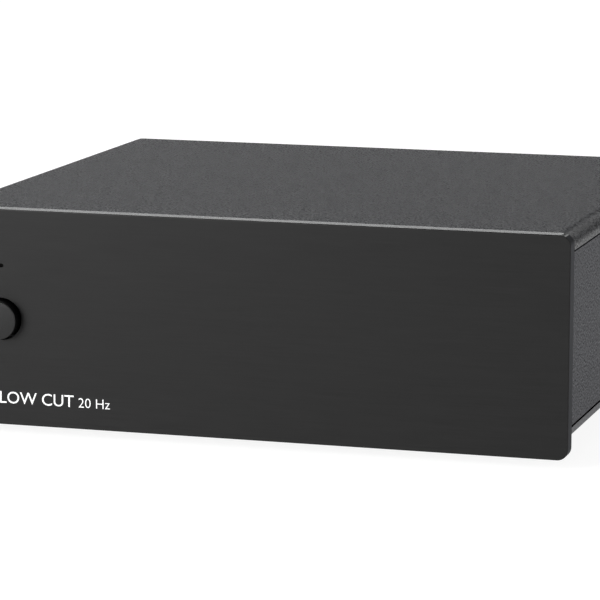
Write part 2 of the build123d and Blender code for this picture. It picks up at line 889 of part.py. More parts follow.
ground_washer.part.label = "ground_washer"
export_step(ground_washer.part, "parts/ground_washer.step")

with BuildPart() as ground_nut:
    with BuildSketch(across(washer_back_y)):
        with Locations((ground_x, axis_z)):
            Circle(nut_shoulder_radius)
    extrude(amount=-nut_length)
    with BuildSketch(across(washer_back_y + nut_shoulder)):
        with Locations((ground_x, axis_z)):
            Circle(nut_radius)
            with PolarLocations(nut_radius, nut_grooves):
                Rectangle(nut_groove_width, nut_groove_width, rotation=45, mode=Mode.SUBTRACT)
    extrude(amount=-(nut_length - nut_shoulder))
    with BuildSketch(across(washer_back_y)):
        with Locations((ground_x, axis_z)):
            Circle(post_bore_radius)
    extrude(amount=-nut_length, mode=Mode.SUBTRACT)

ground_nut.part.label = "ground_nut"
export_step(ground_nut.part, "parts/ground_nut.step")

# ---- Power jack ---------------------------------------------------------------------------
# Moulded barrel jack on the board. Its round nose stands in the rear panel's hole.

jack_bore_end_y = rear_face_y + jack_nose - jack_depth
jack_nose_y = rear_face_y + jack_nose

with BuildPart() as power_jack_body:
    with BuildSketch(across(rear_inside_y)):
        with Locations((jack_x, board_top_z)):
            Rectangle(jack_width, 2 * (axis_z - board_top_z), align=(Align.CENTER, Align.MIN))
    extrude(amount=jack_length)
    with BuildSketch(across(rear_inside_y)):
        with Locations((jack_x, axis_z)):
            Circle(jack_nose_radius)
    extrude(amount=-(jack_nose_y - rear_inside_y))
    with BuildSketch(across(jack_nose_y)):
        with Locations((jack_x, axis_z)):
            Circle(jack_mouth_radius)
    extrude(amount=jack_depth, mode=Mode.SUBTRACT)

power_jack_body.part.label = "power_jack_body"
export_step(power_jack_body.part, "parts/power_jack_body.step")

jack_pin_end_y = jack_nose_y - jack_pin_recess

with BuildPart() as power_jack_pin:
    with BuildSketch(turning_plane(jack_x)):
        with BuildLine():
            Polyline(
                (0, jack_bore_end_y),
                (jack_pin_radius, jack_bore_end_y),
                (jack_pin_radius, jack_pin_end_y - jack_pin_round),
                (jack_pin_radius - jack_pin_round, jack_pin_end_y),
                (0, jack_pin_end_y),
                close=True,
            )
        make_face()
    revolve(axis=turning_axis(jack_x))

power_jack_pin.part.label = "power_jack_pin"
export_step(power_jack_pin.part, "parts/power_jack_pin.step")
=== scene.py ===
from math import pi, tau

import bmesh
import bpy
import numpy as np
from mathutils import Matrix, Vector
from mathutils.geometry import tessellate_polygon


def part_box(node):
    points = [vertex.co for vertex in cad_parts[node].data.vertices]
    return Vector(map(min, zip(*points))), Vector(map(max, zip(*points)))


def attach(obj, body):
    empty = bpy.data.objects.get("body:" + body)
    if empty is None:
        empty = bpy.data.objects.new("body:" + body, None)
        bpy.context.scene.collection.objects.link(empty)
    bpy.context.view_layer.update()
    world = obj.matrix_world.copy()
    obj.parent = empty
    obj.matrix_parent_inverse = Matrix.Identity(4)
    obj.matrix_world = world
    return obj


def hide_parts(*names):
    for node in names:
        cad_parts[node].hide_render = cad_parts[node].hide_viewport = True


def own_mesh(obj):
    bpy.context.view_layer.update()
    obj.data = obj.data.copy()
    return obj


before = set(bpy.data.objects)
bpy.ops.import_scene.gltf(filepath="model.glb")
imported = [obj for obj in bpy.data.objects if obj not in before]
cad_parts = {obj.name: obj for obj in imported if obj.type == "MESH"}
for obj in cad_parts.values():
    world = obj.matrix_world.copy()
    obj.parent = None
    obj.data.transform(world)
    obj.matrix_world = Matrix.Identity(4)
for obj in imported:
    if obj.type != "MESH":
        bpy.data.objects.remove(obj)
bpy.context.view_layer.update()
bpy.context.scene.view_settings.view_transform = "Standard"


# ---- Camera -------------------------------------------------------------------------------
# A long lens 0.6 m away, to the right of the casing and a little above it. It looks at the
# front from there, and the left end is outside the picture.

camera_place = (0.162285, -0.553021, 0.115626)
camera_turn = 0.2955  # radians, to the left about the upright
camera_dip = 0.1717  # radians, below the horizon
camera_roll = 0.0015
camera_lens = 207.58  # millimetres, on a sensor 36 mm wide

camera_data = bpy.data.cameras.new("camera")
camera_data.lens = camera_lens
camera_data.sensor_width = 36
camera_data.clip_start = 0.01
camera = bpy.data.objects.new("camera", camera_data)
camera.matrix_world = (
    Matrix.Translation(camera_place)
    @ Matrix.Rotation(camera_turn, 4, "Z")
    @ Matrix.Rotation(pi / 2 - camera_dip, 4, "X")
    @ Matrix.Rotation(camera_roll, 4, "Z")
)
bpy.context.collection.objects.link(camera)
bpy.context.scene.camera = camera


# ---- Studio floor and light ---------------------------------------------------------------
# White paper on a table, seen almost white but lit at a plain level, with soft boxes to the
# left, to the right, above and behind. The room is white to the eye, and a gloss meets its
# bright and dark parts.


def linear(code):
    """Linear colour with alpha from an sRGB code such as #A0B1C2, by the sRGB transfer curve."""
    srgb = np.array([int(code[i : i + 2], 16) for i in (1, 3, 5)]) / 255
    low = srgb / 12.92
    high = ((srgb + 0.055) / 1.055) ** 2.4
    return (*np.where(srgb <= 0.04045, low, high).tolist(), 1.0)


def add_node(tree, kind, inputs=None, **settings):
    """Adds a node with its settings. An input is a value, or the socket that feeds it."""
    node = tree.nodes.new(kind)
    for name, value in settings.items():
        setattr(node, name, value)
    for name, value in (inputs or {}).items():
        if isinstance(value, bpy.types.NodeSocket):
            tree.links.new(value, node.inputs[name])
        else:
            node.inputs[name].default_value = value
    return node


def new_material(name):
    """Material with an empty node tree."""
    material = bpy.data.materials.new(name)
    material.use_nodes = True
    material.node_tree.nodes.clear()
    return material, material.node_tree


soft_level = 0.35  # the studio's soft light, against 1 for the white that the eye sees
# What a gloss meets: how bright the room is at the sine of a height, and what share of that it
# keeps at the sine of an angle to the right.
room_levels = (
    (0.0, 0.0), (0.01, 0.2), (0.08, 0.2), (0.12, 0.1), (0.18, 0.1), (0.25, 0.6), (1.0, 0.4)
)
room_shares = ((-0.4, 0.6), (-0.25, 0.3), (-0.1, 0.3), (0.0, 1.6))
studio = bpy.data.worlds.new("studio")
studio.use_nodes = True
studio.node_tree.nodes.clear()
tree = studio.node_tree
path = add_node(tree, "ShaderNodeLightPath").outputs
direction = add_node(tree, "ShaderNodeTexCoord").outputs["Generated"]
mirrored = 1.0
for axis, first, levels in (("Z", 0, room_levels), ("X", -1, room_shares)):
    # A ramp runs from 0 to 1, so the sine is counted from the first one that it covers.
    along = add_node(tree, "ShaderNodeSeparateXYZ", {0: direction}).outputs[axis]
    counted = add_node(tree, "ShaderNodeMapRange", {"Value": along, "From Min": first}).outputs[0]
    room = add_node(tree, "ShaderNodeValToRGB", {0: counted})
    marks = room.color_ramp.elements
    marks.remove(marks[1])
    for sine, level in levels:
        position = (sine - first) / (1 - first)
        mark = marks.new(position) if sine > levels[0][0] else marks[0]
        mark.position = position
        mark.color = (level, level, level, 1)
    mirrored = add_node(
        tree, "ShaderNodeMath", {0: mirrored, 1: room.outputs[0]}, operation="MULTIPLY"
    ).outputs[0]
clear_view = add_node(
    tree,
    "ShaderNodeMath",
    {0: path["Is Camera Ray"], 1: path["Is Transmission Ray"]},
    operation="MAXIMUM",
).outputs[0]
plain = add_node(tree, "ShaderNodeMix", {0: clear_view, 2: soft_level, 3: 1.0}).outputs[0]
strength = add_node(
    tree, "ShaderNodeMix", {0: path["Is Glossy Ray"], 2: plain, 3: mirrored}
).outputs[0]
studio_light = add_node(
    tree, "ShaderNodeBackground", {"Color": (1, 1, 1, 1), "Strength": strength}
).outputs[0]
add_node(tree, "ShaderNodeOutputWorld", {"Surface": studio_light})
bpy.context.scene.world = studio

# The paper throws a plain light on the object. The eye and a gloss see it glow, so that it is
# almost white and keeps the object's shadow.
paper, tree = new_material("white_paper")
path = add_node(tree, "ShaderNodeLightPath").outputs
seen = add_node(
    tree,
    "ShaderNodeMath",
    {0: path["Is Camera Ray"], 1: path["Is Glossy Ray"]},
    operation="MAXIMUM",
).outputs[0]
seen = add_node(
    tree, "ShaderNodeMath", {0: seen, 1: path["Is Transmission Ray"]}, operation="MAXIMUM"
).outputs[0]
paper_soft = add_node(tree, "ShaderNodeBsdfDiffuse", {"Color": linear("#E6E6E6")})
paper_seen = add_node(tree, "ShaderNodeBsdfDiffuse", {"Color": linear("#868686")})
paper_glow = add_node(tree, "ShaderNodeEmission", {"Color": (1, 1, 1, 1), "Strength": 0.89})
paper_sum = add_node(
    tree, "ShaderNodeAddShader", {0: paper_seen.outputs[0], 1: paper_glow.outputs[0]}
)
paper_mix = add_node(
    tree,
    "ShaderNodeMixShader",
    {0: seen, 1: paper_soft.outputs[0], 2: paper_sum.outputs[0]},
)
add_node(tree, "ShaderNodeOutputMaterial", {"Surface": paper_mix.outputs[0]})

floor_half = 4.0
floor_mesh = bpy.data.meshes.new("floor")
floor_corners = [
    (x * floor_half, y * floor_half, 0) for x, y in ((-1, -1), (1, -1), (1, 1), (-1, 1))
]
floor_mesh.from_pydata(floor_corners, [], [(0, 1, 2, 3)])
floor_mesh.materials.append(paper)
floor = bpy.data.objects.new("floor", floor_mesh)
bpy.context.collection.objects.link(floor)

# Each soft box: its place, its width and height in metres, and its watts. The low one behind
# shows in the upper edge of the front plate.
soft_boxes = {
    "key": ((-0.62, -0.85, 0.33), (0.6, 0.6), 13.0),
    "fill": ((1.0, -0.4, 0.3), (0.6, 0.6), 1.7),
    "top": ((-0.7, 0.2, 0.9), (0.8, 0.8), 8.0),
    "low": ((-0.3, 0.94, 0.2), (0.36, 0.06), 0.11),
}
lamp_target = Vector((0, 0, 0.02))
for box_name, (place, (width, height), watts) in soft_boxes.items():
    lamp = bpy.data.lights.new(box_name, "AREA")
    lamp.shape = "RECTANGLE"
    lamp.size = width
    lamp.size_y = height
    lamp.energy = watts
    soft_box = bpy.data.objects.new(box_name, lamp)
    aim = (lamp_target - Vector(place)).to_track_quat("-Z", "Y")
    soft_box.matrix_world = Matrix.Translation(place) @ aim.to_matrix().to_4x4()
    bpy.context.collection.objects.link(soft_box)


# ---- Front plate --------------------------------------------------------------------------
# Thick aluminium plate, brushed lengthwise, its edges broken fine, then anodised black. Screws
# from inside hold it, and pockets in its back clear the heads of the screws behind it.

# Lengths are metres, and mm turns a drawing's millimetres into them.
mm = 0.001
weld_distance = 0.0005 * mm  # points nearer than this are one
break_rows = 4  # to a broken edge

# The right, up and out of a piece's drawing, in the frame, for each way that it can face.
FACING = {
    "front": ((1, 0, 0), (0, 0, 1), (0, -1, 0)),
    "back": ((-1, 0, 0), (0, 0, 1), (0, 1, 0)),
    "down": ((1, 0, 0), (0, -1, 0), (0, 0, -1)),
}


def arc_loop(centres, radius, first=0.0, steps=12):
    """Closed loop of equal arcs, one about each centre, anticlockwise. A point is its centre plus
    the radius along an angle that turns evenly, and straight runs join one arc to the next."""
    centres = np.array(centres, float)
    turn = np.linspace(0, tau / len(centres), steps + 1)
    turn = turn if len(centres) > 1 else turn[:-1]
    angle = first + tau / len(centres) * np.arange(len(centres))[:, None] + turn
    arcs = centres[:, None] + radius * np.stack([np.cos(angle), np.sin(angle)], -1)
    return arcs.reshape(-1, 2)


def edge_rings(centres, radius, top, bottom, top_break, bottom_break, hole=False, **arcs):
    """Rings down an edge from its top to its bottom. A broken edge is a quarter round: at the
    angle t its ring stands in by break (1 - sin t) and down by break (1 - cos t)."""
    t = np.linspace(0, pi / 2, break_rows)
    inset = np.concatenate([top_break * (1 - np.sin(t)), bottom_break * (1 - np.sin(t[::-1]))])
    depth = np.concatenate(
        [top - top_break * (1 - np.cos(t)), bottom + bottom_break * (1 - np.cos(t[::-1]))]
    )
    outward = 1 if hole else -1
    loops = [arc_loop(centres, radius + outward * i, **arcs) for i in inset]
    return np.stack([np.insert(loop, 2, d, axis=1) for loop, d in zip(loops, depth)])


def new_piece(name, bands, material, caps=(), seats=((0, 0, 0),), facing="front", smooth=50):
    """Mesh of bands and caps. A band is rows of points that close into rings, a cap the flat face
    inside a first loop and outside the others. Local right, up and out turn to the way the piece
    faces, and a copy stands on each seat. Edges sharper than smooth, in degrees, stay sharp."""
    points, faces, count = [], [], 0
    for seat in seats:
        for band in bands:
            rows, columns = band.shape[:2]
            index = count + np.arange(rows * columns).reshape(rows, columns)
            after = np.roll(index, -1, axis=1)
            quads = np.stack([index[:-1], after[:-1], after[1:], index[1:]], -1)
            faces.extend(quads.reshape(-1, 4).tolist())
            points.append(band.reshape(-1, 3) @ np.array(FACING[facing]) + seat)
            count += rows * columns
        for loops in caps:
            flat = [[Vector(p[:2]) for p in loop.tolist()] for loop in loops]
            faces.extend([[count + i for i in corners] for corners in tessellate_polygon(flat)])
            points.append(np.concatenate(loops) @ np.array(FACING[facing]) + seat)
            count += sum(len(loop) for loop in loops)
    mesh = bpy.data.meshes.new(name)
    mesh.from_pydata(np.concatenate(points).tolist(), [], faces)
    shell = bmesh.new()
    shell.from_mesh(mesh)
    bmesh.ops.remove_doubles(shell, verts=shell.verts, dist=weld_distance)
    bmesh.ops.recalc_face_normals(shell, faces=shell.faces)
    shell.to_mesh(mesh)
    shell.free()
    mesh.shade_smooth()
    mesh.set_sharp_from_angle(angle=smooth / 180 * pi)
    mesh.materials.append(material)
    piece = bpy.data.objects.new(name, mesh)
    bpy.context.collection.objects.link(piece)
    flats = piece.modifiers.new("flat_faces", "WEIGHTED_NORMAL")
    flats.keep_sharp = True
    return piece


scratch_depth = 0.01 * mm


def brushed_bump(tree, grain_size, strength):
    """Height of long grain: noise with one size along each axis, and the normal that it bends."""
    place = add_node(tree, "ShaderNodeTexCoord").outputs["Object"]
    stretch = [1 / size for size in grain_size]
    drawn = add_node(tree, "ShaderNodeMapping", {"Vector": place, "Scale": stretch})
    grain = add_node(
        tree,
        "ShaderNodeTexNoise",
        {"Vector": drawn.outputs[0], "Scale": 1.0, "Detail": 3.0, "Roughness": 0.6},
    ).outputs["Fac"]
    bump = add_node(
        tree, "ShaderNodeBump", {"Height": grain, "Strength": strength, "Distance": scratch_depth}
    )
    return grain, bump.outputs[0]


# Black anodised aluminium, brushed along its length: a dark metal whose satin face mirrors the
# table faintly. The real scratches are 0.05 mm wide and are drawn 0.25 mm wide to show.
brush_width = 0.25 * mm
brush_length = 9 * mm
black_anodised, tree = new_material("black_anodised_aluminium")
grain, bump = brushed_bump(tree, (brush_length, brush_width, brush_width), strength=0.25)
rough = add_node(
    tree,
    "ShaderNodeMapRange",
    {"Value": grain, "From Min": 0.3, "From Max": 0.7, "To Min": 0.37, "To Max": 0.43},
)
tint = add_node(
    tree,
    "ShaderNodeMix",
    {"Factor": grain, 6: linear("#272727"), 7: linear("#2D2D2D")},
    data_type="RGBA",
)
metal = add_node(
    tree,
    "ShaderNodeBsdfPrincipled",
    {"Base Color": tint.outputs[2], "Metallic": 1.0, "Roughness": rough.outputs[0], "Normal": bump},
)
add_node(tree, "ShaderNodeOutputMaterial", {"Surface": metal.outputs[0]})


cool_cast = (0.99, 1.0, 1.03)  # of red, green and blue


def milled_edge(name, grain_size, roughness, edge_tint):
    """Edge cut by a mill after the brushing and anodised with the rest. Its marks have one size
    along each axis, and edge_tint is how much of a light that grazes it the edge gives back. An
    edge_tint below 1 is painted shade."""
    material, tree = new_material(name)
    marks, bump = brushed_bump(tree, grain_size, strength=0.2)
    rough = add_node(
        tree, "ShaderNodeMapRange", {"Value": marks, "To Min": roughness[0], "To Max": roughness[1]}
    ).outputs[0]
    metal = add_node(
        tree,
        "ShaderNodeBsdfPrincipled",
        {
            "Base Color": linear("#2E2E2E"),
            "Metallic": 1.0,
            "Roughness": rough,
            "Specular Tint": (*(edge_tint * share for share in cool_cast), 1),
            "Normal": bump,
        },
    )
    add_node(tree, "ShaderNodeOutputMaterial", {"Surface": metal.outputs[0]})
    return material


mark_length = 4 * mm
mark_width = 0.2 * mm
long_edge = milled_edge(
    "black_anodised_long_edge", (mark_length, mark_width, mark_width),
    roughness=(0.15, 0.21), edge_tint=1.0,
)
# Painted shade: an edge_tint of 0.56 darkens what the sawn side edges give back of a grazing light,
# standing in for the shade at the plate's sides; their higher roughness is real.
short_edge_shaded = milled_edge(
    "black_anodised_sawn_edge_painted_shade", (mark_width, mark_width, mark_length),
    roughness=(0.4, 0.5), edge_tint=0.56,
)
# Painted shade: an edge_tint of 0 lets the walls of the holes and pockets give back no grazing
# light, standing in for the shade inside them.
hole_wall_shaded = milled_edge(
    "black_anodised_bore_painted_shade", (mark_width, mark_width, mark_width),
    roughness=(0.5, 0.6), edge_tint=0.0,
)

plate_corner = 1.7 * mm
plate_break = 0.15 * mm
plate_rim = 1 * mm  # no hole comes nearer to the plate's outline
hole_break = 0.04 * mm
button_hole_radius = 3.4 * mm
window_half_width = 0.5 * mm
window_half_height = 0.3 * mm
pipe_above_window = 1.0 * mm
pocket_radius = 2.4 * mm
pocket_depth = 1.6 * mm
tapped_radius = 1.25 * mm
tapped_depth = 1.9 * mm
screw_head_radius = 2.25 * mm

plate_low, plate_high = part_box("front_plate")
button_low, button_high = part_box("filter_button")
pipe_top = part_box("light_pipe")[1].z
head_low, head_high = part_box("front_screws")
blind_low, blind_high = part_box("plate_screws")
button_centre = ((button_low + button_high) / 2).xz
window_centre = (button_centre[0], pipe_top - pipe_above_window)
plate_face = -plate_low.y
plate_back = -plate_high.y


def corners_within(low, high, inset):
    """The four corners, anticlockwise from the upper right, each inset from the box's sides."""
    left, right = low.x + inset, high.x - inset
    bottom, top = low.z + inset, high.z - inset
    return [(right, top), (left, top), (left, bottom), (right, bottom)]


plate_edge = edge_rings(
    corners_within(plate_low, plate_high, plate_corner),
    plate_corner, plate_face, plate_back, plate_break, hole_break,
)
button_hole = edge_rings(
    [button_centre], button_hole_radius, plate_face, plate_back, hole_break, hole_break,
    hole=True, steps=72,
)
slot_end = window_half_width - window_half_height
window_hole = edge_rings(
    [(window_centre[0] + side * slot_end, window_centre[1]) for side in (1, -1)],
    window_half_height, plate_face, plate_back, hole_break / 2, hole_break / 2,
    hole=True, first=-pi / 2,
)
screw_pockets = [
    edge_rings([centre], pocket_radius, plate_back + pocket_depth, plate_back, 0, hole_break,
               hole=True, steps=36)
    for centre in corners_within(head_low, head_high, screw_head_radius)
]
tapped_holes = [
    edge_rings([(x, blind_low.z + screw_head_radius)], tapped_radius, plate_back + tapped_depth,
               plate_back, 0, hole_break, hole=True, steps=24)
    for x in (blind_low.x + screw_head_radius, blind_high.x - screw_head_radius)
]
through = [button_hole, window_hole]
blind = screw_pockets + tapped_holes
front_plate = new_piece(
    "front_plate_brushed",
    [plate_edge, *through, *blind],
    black_anodised,
    caps=[
        [plate_edge[0], *[hole[0] for hole in through]],
        [plate_edge[-1], *[hole[-1] for hole in through + blind]],
        *[[hole[0]] for hole in blind],
    ],
)
# Each face takes the finish of the cut that made it: 0 is brushed, 1 a long edge, 2 a sawn edge
# and 3 the wall of a hole; 2 and 3 also carry painted shade. A face looks along an axis where its
# normal has more than half on it.
faces_along = 0.5
for cut_material in (long_edge, short_edge_shaded, hole_wall_shaded):
    front_plate.data.materials.append(cut_material)
normals = np.empty(3 * len(front_plate.data.polygons))
centres = np.empty_like(normals)
front_plate.data.polygons.foreach_get("normal", normals)
front_plate.data.polygons.foreach_get("center", centres)
across_x, across_y, across_z = np.abs(normals.reshape(-1, 3)).T
x, _, z = centres.reshape(-1, 3).T
within_x = (x > plate_low.x + plate_rim) & (x < plate_high.x - plate_rim)
within_z = (z > plate_low.z + plate_rim) & (z < plate_high.z - plate_rim)
drilled = (across_y < faces_along) & within_x & within_z
finish = np.select([drilled, across_x > faces_along, across_z > faces_along], [3, 2, 1])
front_plate.data.polygons.foreach_set("material_index", finish)
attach(front_plate, "casing")
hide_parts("front_plate")


# ---- Print on the front plate -------------------------------------------------------------
# Screen print on the anodised face, in white ink a hundredth of a millimetre thick. It says
# what the button does.

# Each run of words: its letters' height, where its baseline ends and how much a stroke of the
# type is thinned on each side.
print_runs = {
    "LOW CUT": (2.75 * mm, -28.5 * mm, 0.0),
    "20 Hz": (2.25 * mm, -22.4 * mm, 0.02 * mm),
}
print_base = 5.1 * mm
ink_thickness = 0.01 * mm
fleck_size = 0.2 * mm

white_ink, tree = new_material("white_screen_print")
place = add_node(tree, "ShaderNodeTexCoord").outputs["Object"]
fleck = add_node(
    tree, "ShaderNodeTexNoise", {"Vector": place, "Scale": 1 / fleck_size, "Detail": 2.0}
).outputs["Fac"]
ink_tint = add_node(
    tree,
    "ShaderNodeMix",
    {"Factor": fleck, 6: linear("#F2F2F2"), 7: linear("#FBFBFB")},
    data_type="RGBA",
)
ink = add_node(
    tree,
    "ShaderNodeBsdfPrincipled",
    {"Base Color": ink_tint.outputs[2], "Roughness": 0.55, "IOR": 1.5},
)
add_node(tree, "ShaderNodeOutputMaterial", {"Surface": ink.outputs[0]})


def printed(name, words, height, thickness, corner, facing, material, align="RIGHT", thinned=0.0):
    """Words as a thin mesh whose baseline ends, starts or is centred at the corner. Strokes are
    thinned on each side by the length given."""
    text = bpy.data.curves.new(name, "FONT")
    text.body = words
    text.size = height
    text.align_x = align
    text.extrude = thickness / 2
    text.offset = -thinned
    text.resolution_u = 4
    writer = bpy.data.objects.new(name + "_text", text)
    bpy.context.collection.objects.link(writer)
    bpy.context.view_layer.update()
    drawn = writer.evaluated_get(bpy.context.evaluated_depsgraph_get())
    mesh = bpy.data.meshes.new_from_object(drawn)
    bpy.data.objects.remove(writer)
    mesh.transform(Matrix(FACING[facing]).transposed().to_4x4())
    mesh.transform(Matrix.Translation(corner))
    mesh.materials.clear()
    mesh.materials.append(material)
    piece = bpy.data.objects.new(name, mesh)
    bpy.context.collection.objects.link(piece)
    return piece


for words, (height, right, thinned) in print_runs.items():
    front_print = printed(
        "front_print_" + words.replace(" ", "_"), words, height, ink_thickness,
        (right, plate_low.y - ink_thickness / 2, print_base), "front", white_ink, thinned=thinned,
    )
    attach(front_print, "casing")


# ---- Push button --------------------------------------------------------------------------
# Cap turned from aluminium bar, with a fine bright rim, anodised black. It stands proud of the
# plate, and its flange rests behind the plate's hole.


def eased(corners, radii, steps=4):
    """Open line with its inner corners rounded. Each arc touches both sides: it starts and ends
    radius / tan(half the corner's angle) from the corner, and turns evenly about a centre on the
    bisector, radius / sin(half the angle) from the corner."""
    corners = np.array(corners, float)
    radii = np.broadcast_to(radii, len(corners))
    line = [corners[:1]]
    for before, corner, after, radius in zip(corners, corners[1:], corners[2:], radii[1:]):
        back = (before - corner) / np.linalg.norm(before - corner)
        on = (after - corner) / np.linalg.norm(after - corner)
        half = np.arccos(np.clip(back @ on, -1, 1)) / 2
        if radius == 0:
            line.append(corner[None])
            continue
        bisector = (back + on) / np.linalg.norm(back + on)
        centre = corner + bisector * radius / np.sin(half)
        start = corner + back * radius / np.tan(half) - centre
        end = corner + on * radius / np.tan(half) - centre
        sweep = pi - 2 * half
        t = np.linspace(0, 1, steps + 1)[:, None]
        between = np.sin((1 - t) * sweep) * start + np.sin(t * sweep) * end
        line.append(centre + between / np.sin(sweep))
    line.append(corners[-1:])
    return np.concatenate(line)


def turned(profile, columns=72):
    """Rings about an axis, one for each radius and height of the profile. A radius or a height
    is one number, or an array with a number for every column."""
    angle = np.linspace(0, tau, columns, endpoint=False)
    radius = np.stack([np.broadcast_to(r, columns) for r, _ in profile])
    height = np.stack([np.broadcast_to(h, columns) for _, h in profile])
    return np.stack([radius * np.cos(angle), radius * np.sin(angle), height], -1)


button_radius = 3.1 * mm
button_rim = 0.1 * mm
button_round = 0.05 * mm
flange_radius = 4.3 * mm
flange_thickness = 0.8 * mm
boss_radius = 2.1 * mm
boss_length = 3.0 * mm
bore_radius = 1.23 * mm
bore_depth = 2.6 * mm
button_face = -button_low.y
boss_end = -button_high.y
flange_back = boss_end + boss_length
flange_front = flange_back + flange_thickness

# Turned and anodised black: rings of the lathe tool run round the face.
ring_spacing = 0.08 * mm
button_black, tree = new_material("black_anodised_turned")
place = add_node(tree, "ShaderNodeTexCoord").outputs["Object"]
centred = add_node(
    tree,
    "ShaderNodeMapping",
    {"Vector": place, "Location": (-button_centre[0], 0, -button_centre[1]), "Scale": (1, 0, 1)},
)
ring_distance = add_node(
    tree, "ShaderNodeVectorMath", {0: centred.outputs[0]}, operation="LENGTH"
).outputs["Value"]
turning_marks = add_node(
    tree,
    "ShaderNodeTexNoise",
    {"W": ring_distance, "Scale": 1 / ring_spacing, "Detail": 2.0},
    noise_dimensions="1D",
).outputs["Fac"]
button_bump = add_node(
    tree, "ShaderNodeBump", {"Height": turning_marks, "Strength": 0.25, "Distance": scratch_depth}
)
button_metal = add_node(
    tree,
    "ShaderNodeBsdfPrincipled",
    {
        "Base Color": linear("#303030"),
        "Metallic": 1.0,
        "Roughness": 0.34,
        "Normal": button_bump.outputs[0],
    },
)
add_node(tree, "ShaderNodeOutputMaterial", {"Surface": button_metal.outputs[0]})

button_profile = eased(
    [
        (0, button_face),
        (button_radius - button_rim, button_face),
        (button_radius, button_face - button_rim),
        (button_radius, flange_front),
        (flange_radius, flange_front),
        (flange_radius, flange_back),
        (boss_radius, flange_back),
        (boss_radius, boss_end),
        (bore_radius, boss_end),
        (bore_radius, boss_end + bore_depth),
        (0, boss_end + bore_depth),
    ],
    button_round,
)
push_button = new_piece(
    "push_button_turned",
    [turned(button_profile)],
    button_black,
    seats=[(button_centre[0], 0, button_centre[1])],
)
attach(push_button, "button")
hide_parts("filter_button")


# ---- Top cover ----------------------------------------------------------------------------
# Steel sheet with both long edges rolled down, powder coated black with a fine sandy texture.
# Four pillars inside hold it to the bottom plate.


def grained(name, colours, grain_size, roughness, lift, metallic=0.0, ior=1.5, gloss=None):
    """Surface with a grain: noise of the grain's size tints it from one colour to the other,
    changes its roughness and lifts it. Of a rough skin only part is gloss, between the two shares
    given: the rest lies in the shade of its own grain and is matt."""
    material, tree = new_material(name)
    place = add_node(tree, "ShaderNodeTexCoord").outputs["Object"]
    noise = add_node(
        tree,
        "ShaderNodeTexNoise",
        {"Vector": place, "Scale": 1 / grain_size, "Detail": 2.0, "Roughness": 0.55},
    ).outputs["Fac"]
    grain = add_node(
        tree, "ShaderNodeMapRange", {"Value": noise, "From Min": 0.35, "From Max": 0.65}
    ).outputs[0]
    tint = add_node(
        tree,
        "ShaderNodeMix",
        {"Factor": grain, 6: linear(colours[0]), 7: linear(colours[1])},
        data_type="RGBA",
    ).outputs[2]
    rough = add_node(
        tree,
        "ShaderNodeMapRange",
        {"Value": grain, "To Min": roughness[0], "To Max": roughness[1]},
    ).outputs[0]
    bump = add_node(
        tree, "ShaderNodeBump", {"Height": noise, "Strength": 0.6, "Distance": lift}
    ).outputs[0]
    surface = add_node(
        tree,
        "ShaderNodeBsdfPrincipled",
        {"Base Color": tint, "Metallic": metallic, "Roughness": rough, "IOR": ior, "Normal": bump},
    ).outputs[0]
    if gloss:
        share = add_node(
            tree, "ShaderNodeMapRange", {"Value": grain, "To Min": gloss[0], "To Max": gloss[1]}
        ).outputs[0]
        matt = add_node(tree, "ShaderNodeBsdfDiffuse", {"Color": tint, "Normal": bump}).outputs[0]
        surface = add_node(
            tree, "ShaderNodeMixShader", {0: share, 1: matt, 2: surface}
        ).outputs[0]
    add_node(tree, "ShaderNodeOutputMaterial", {"Surface": surface})
    return material


cover_sheet = 1.2 * mm
cover_bend = 2.4 * mm
cover_break = 0.25 * mm
cover_low, cover_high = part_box("top_cover")

# Powder coat, a cured plastic film with a fine sandy grain. Its real grain is about 0.15 mm
# wide, and it is drawn 0.36 mm wide to show.
cover_coating = grained(
    "fine_textured_powder_coat", ("#1E1F21", "#3A3B3E"), grain_size=0.36 * mm,
    roughness=(0.22, 0.32), lift=0.06 * mm, gloss=(0.22, 0.78),
)


def sheet_section(length, thickness, edge_break):
    """Loop round a sheet's section, an arc at each corner. A point is its offset from the
    middle of the sheet and its place along the length."""
    middle = length[0] + edge_break, length[1] - edge_break
    reach = thickness / 2 - edge_break
    corners = [(reach, middle[1]), (-reach, middle[1]), (-reach, middle[0]), (reach, middle[0])]
    return arc_loop(corners, edge_break, steps=3)


def bent_line(offset):
    """Line of the cover seen from the front, at an offset outwards from the middle of its sheet:
    up the left edge, across the top and down the right edge, its two bends about fixed centres."""
    reach = cover_high.x - cover_sheet / 2 + offset
    top = cover_high.z - cover_sheet / 2 + offset
    bend = cover_bend - cover_sheet / 2 + offset
    low = cover_low.z
    return eased([(-reach, low), (-reach, top), (reach, top), (reach, low)], bend, steps=10)


cover_section = sheet_section((cover_low.y, cover_high.y), cover_sheet, cover_break)
cover_columns = [np.insert(bent_line(offset), 1, y, axis=1) for offset, y in cover_section]
# The line is drawn in the frame, so it is turned back to the drawing that new_piece expects.
cover_band = np.stack(cover_columns, 1) @ np.linalg.inv(np.array(FACING["front"]))
top_cover = new_piece("top_cover_coated", [cover_band], cover_coating)
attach(top_cover, "casing")
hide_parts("top_cover")


# ---- Side walls ---------------------------------------------------------------------------
# Aluminium profiles, blasted coarse and anodised black, between a groove of shadow at the cover
# and another at the bottom plate. Their ports take the panels' screws.

# The blast leaves pits about 0.2 mm wide, and they are drawn 0.32 mm wide to show.
wall_finish_with_groove_shade = grained(
    "coarse_blasted_anodised_painted_groove_shade", ("#1A1B1F", "#3C3D44"), grain_size=0.32 * mm,
    roughness=(0.35, 0.5), lift=0.11 * mm, gloss=(0.1, 0.83),
)


def dress(material, *names):
    """Gives solids of the frame their finish."""
    for name in names:
        for material_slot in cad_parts[name].material_slots:
            material_slot.material = material


